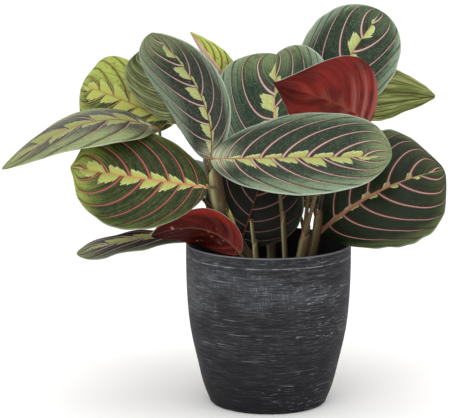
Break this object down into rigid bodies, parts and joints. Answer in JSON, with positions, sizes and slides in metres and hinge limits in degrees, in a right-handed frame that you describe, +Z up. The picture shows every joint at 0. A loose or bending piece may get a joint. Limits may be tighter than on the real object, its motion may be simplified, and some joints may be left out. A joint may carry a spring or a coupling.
{
  "type": "potted prayer plant",
  "caption": "Bushy prayer plant in a round tapered pot: broad oval leaves with red veins and a zigzag pale band, on thin stalks rising from shoots in the soil.",
  "frame": {"origin": "centre of the pot's flat underside, where it stands on the ground", "axes": "+Z up along the pot's axis, +X to the right seen from the front, front is -Y"},
  "size_m": [0.3414, 0.2455, 0.3083],
  "materials": {
    "pot": "brushed charcoal",
    "soil": "rough peat",
    "stem": "matte",
    "leaf_mature": "satin",
    "leaf_young": "satin",
    "leaf_grey": "satin",
    "leaf_red": "satin"
  },
  "bodies": {
    "root": {"pot": "pot", "soil": "soil", "shoot_left": "stem", "shoot_front": "stem", "shoot_middle": "stem", "shoot_right": "stem", "shoot_far_right": "stem", "shoot_rear_left": "stem", "shoot_rear": "stem", "shoot_rear_right": "stem", "leaf_front": "leaf_mature", "leaf_left": "leaf_mature", "leaf_right": "leaf_mature", "leaf_upper": "leaf_mature", "leaf_upper_right": "leaf_mature", "leaf_upper_left": "leaf_mature", "leaf_red_top": "leaf_red", "leaf_red_low": "leaf_red", "leaf_far_right": "leaf_grey", "leaf_far_left": "leaf_grey", "leaf_back_left": "leaf_young", "leaf_folded": "leaf_grey", "leaf_young": "leaf_young", "leaf_low_left": "leaf_mature", "leaf_low_middle": "leaf_mature", "leaf_low_behind": "leaf_mature", "leaf_rear_left": "leaf_mature", "leaf_rear_left_low": "leaf_mature", "leaf_rear_middle": "leaf_mature", "leaf_rear_right": "leaf_mature", "leaf_rear_right_low": "leaf_mature", "leaf_rear_low": "leaf_young"}
  },
  "joints": []
}
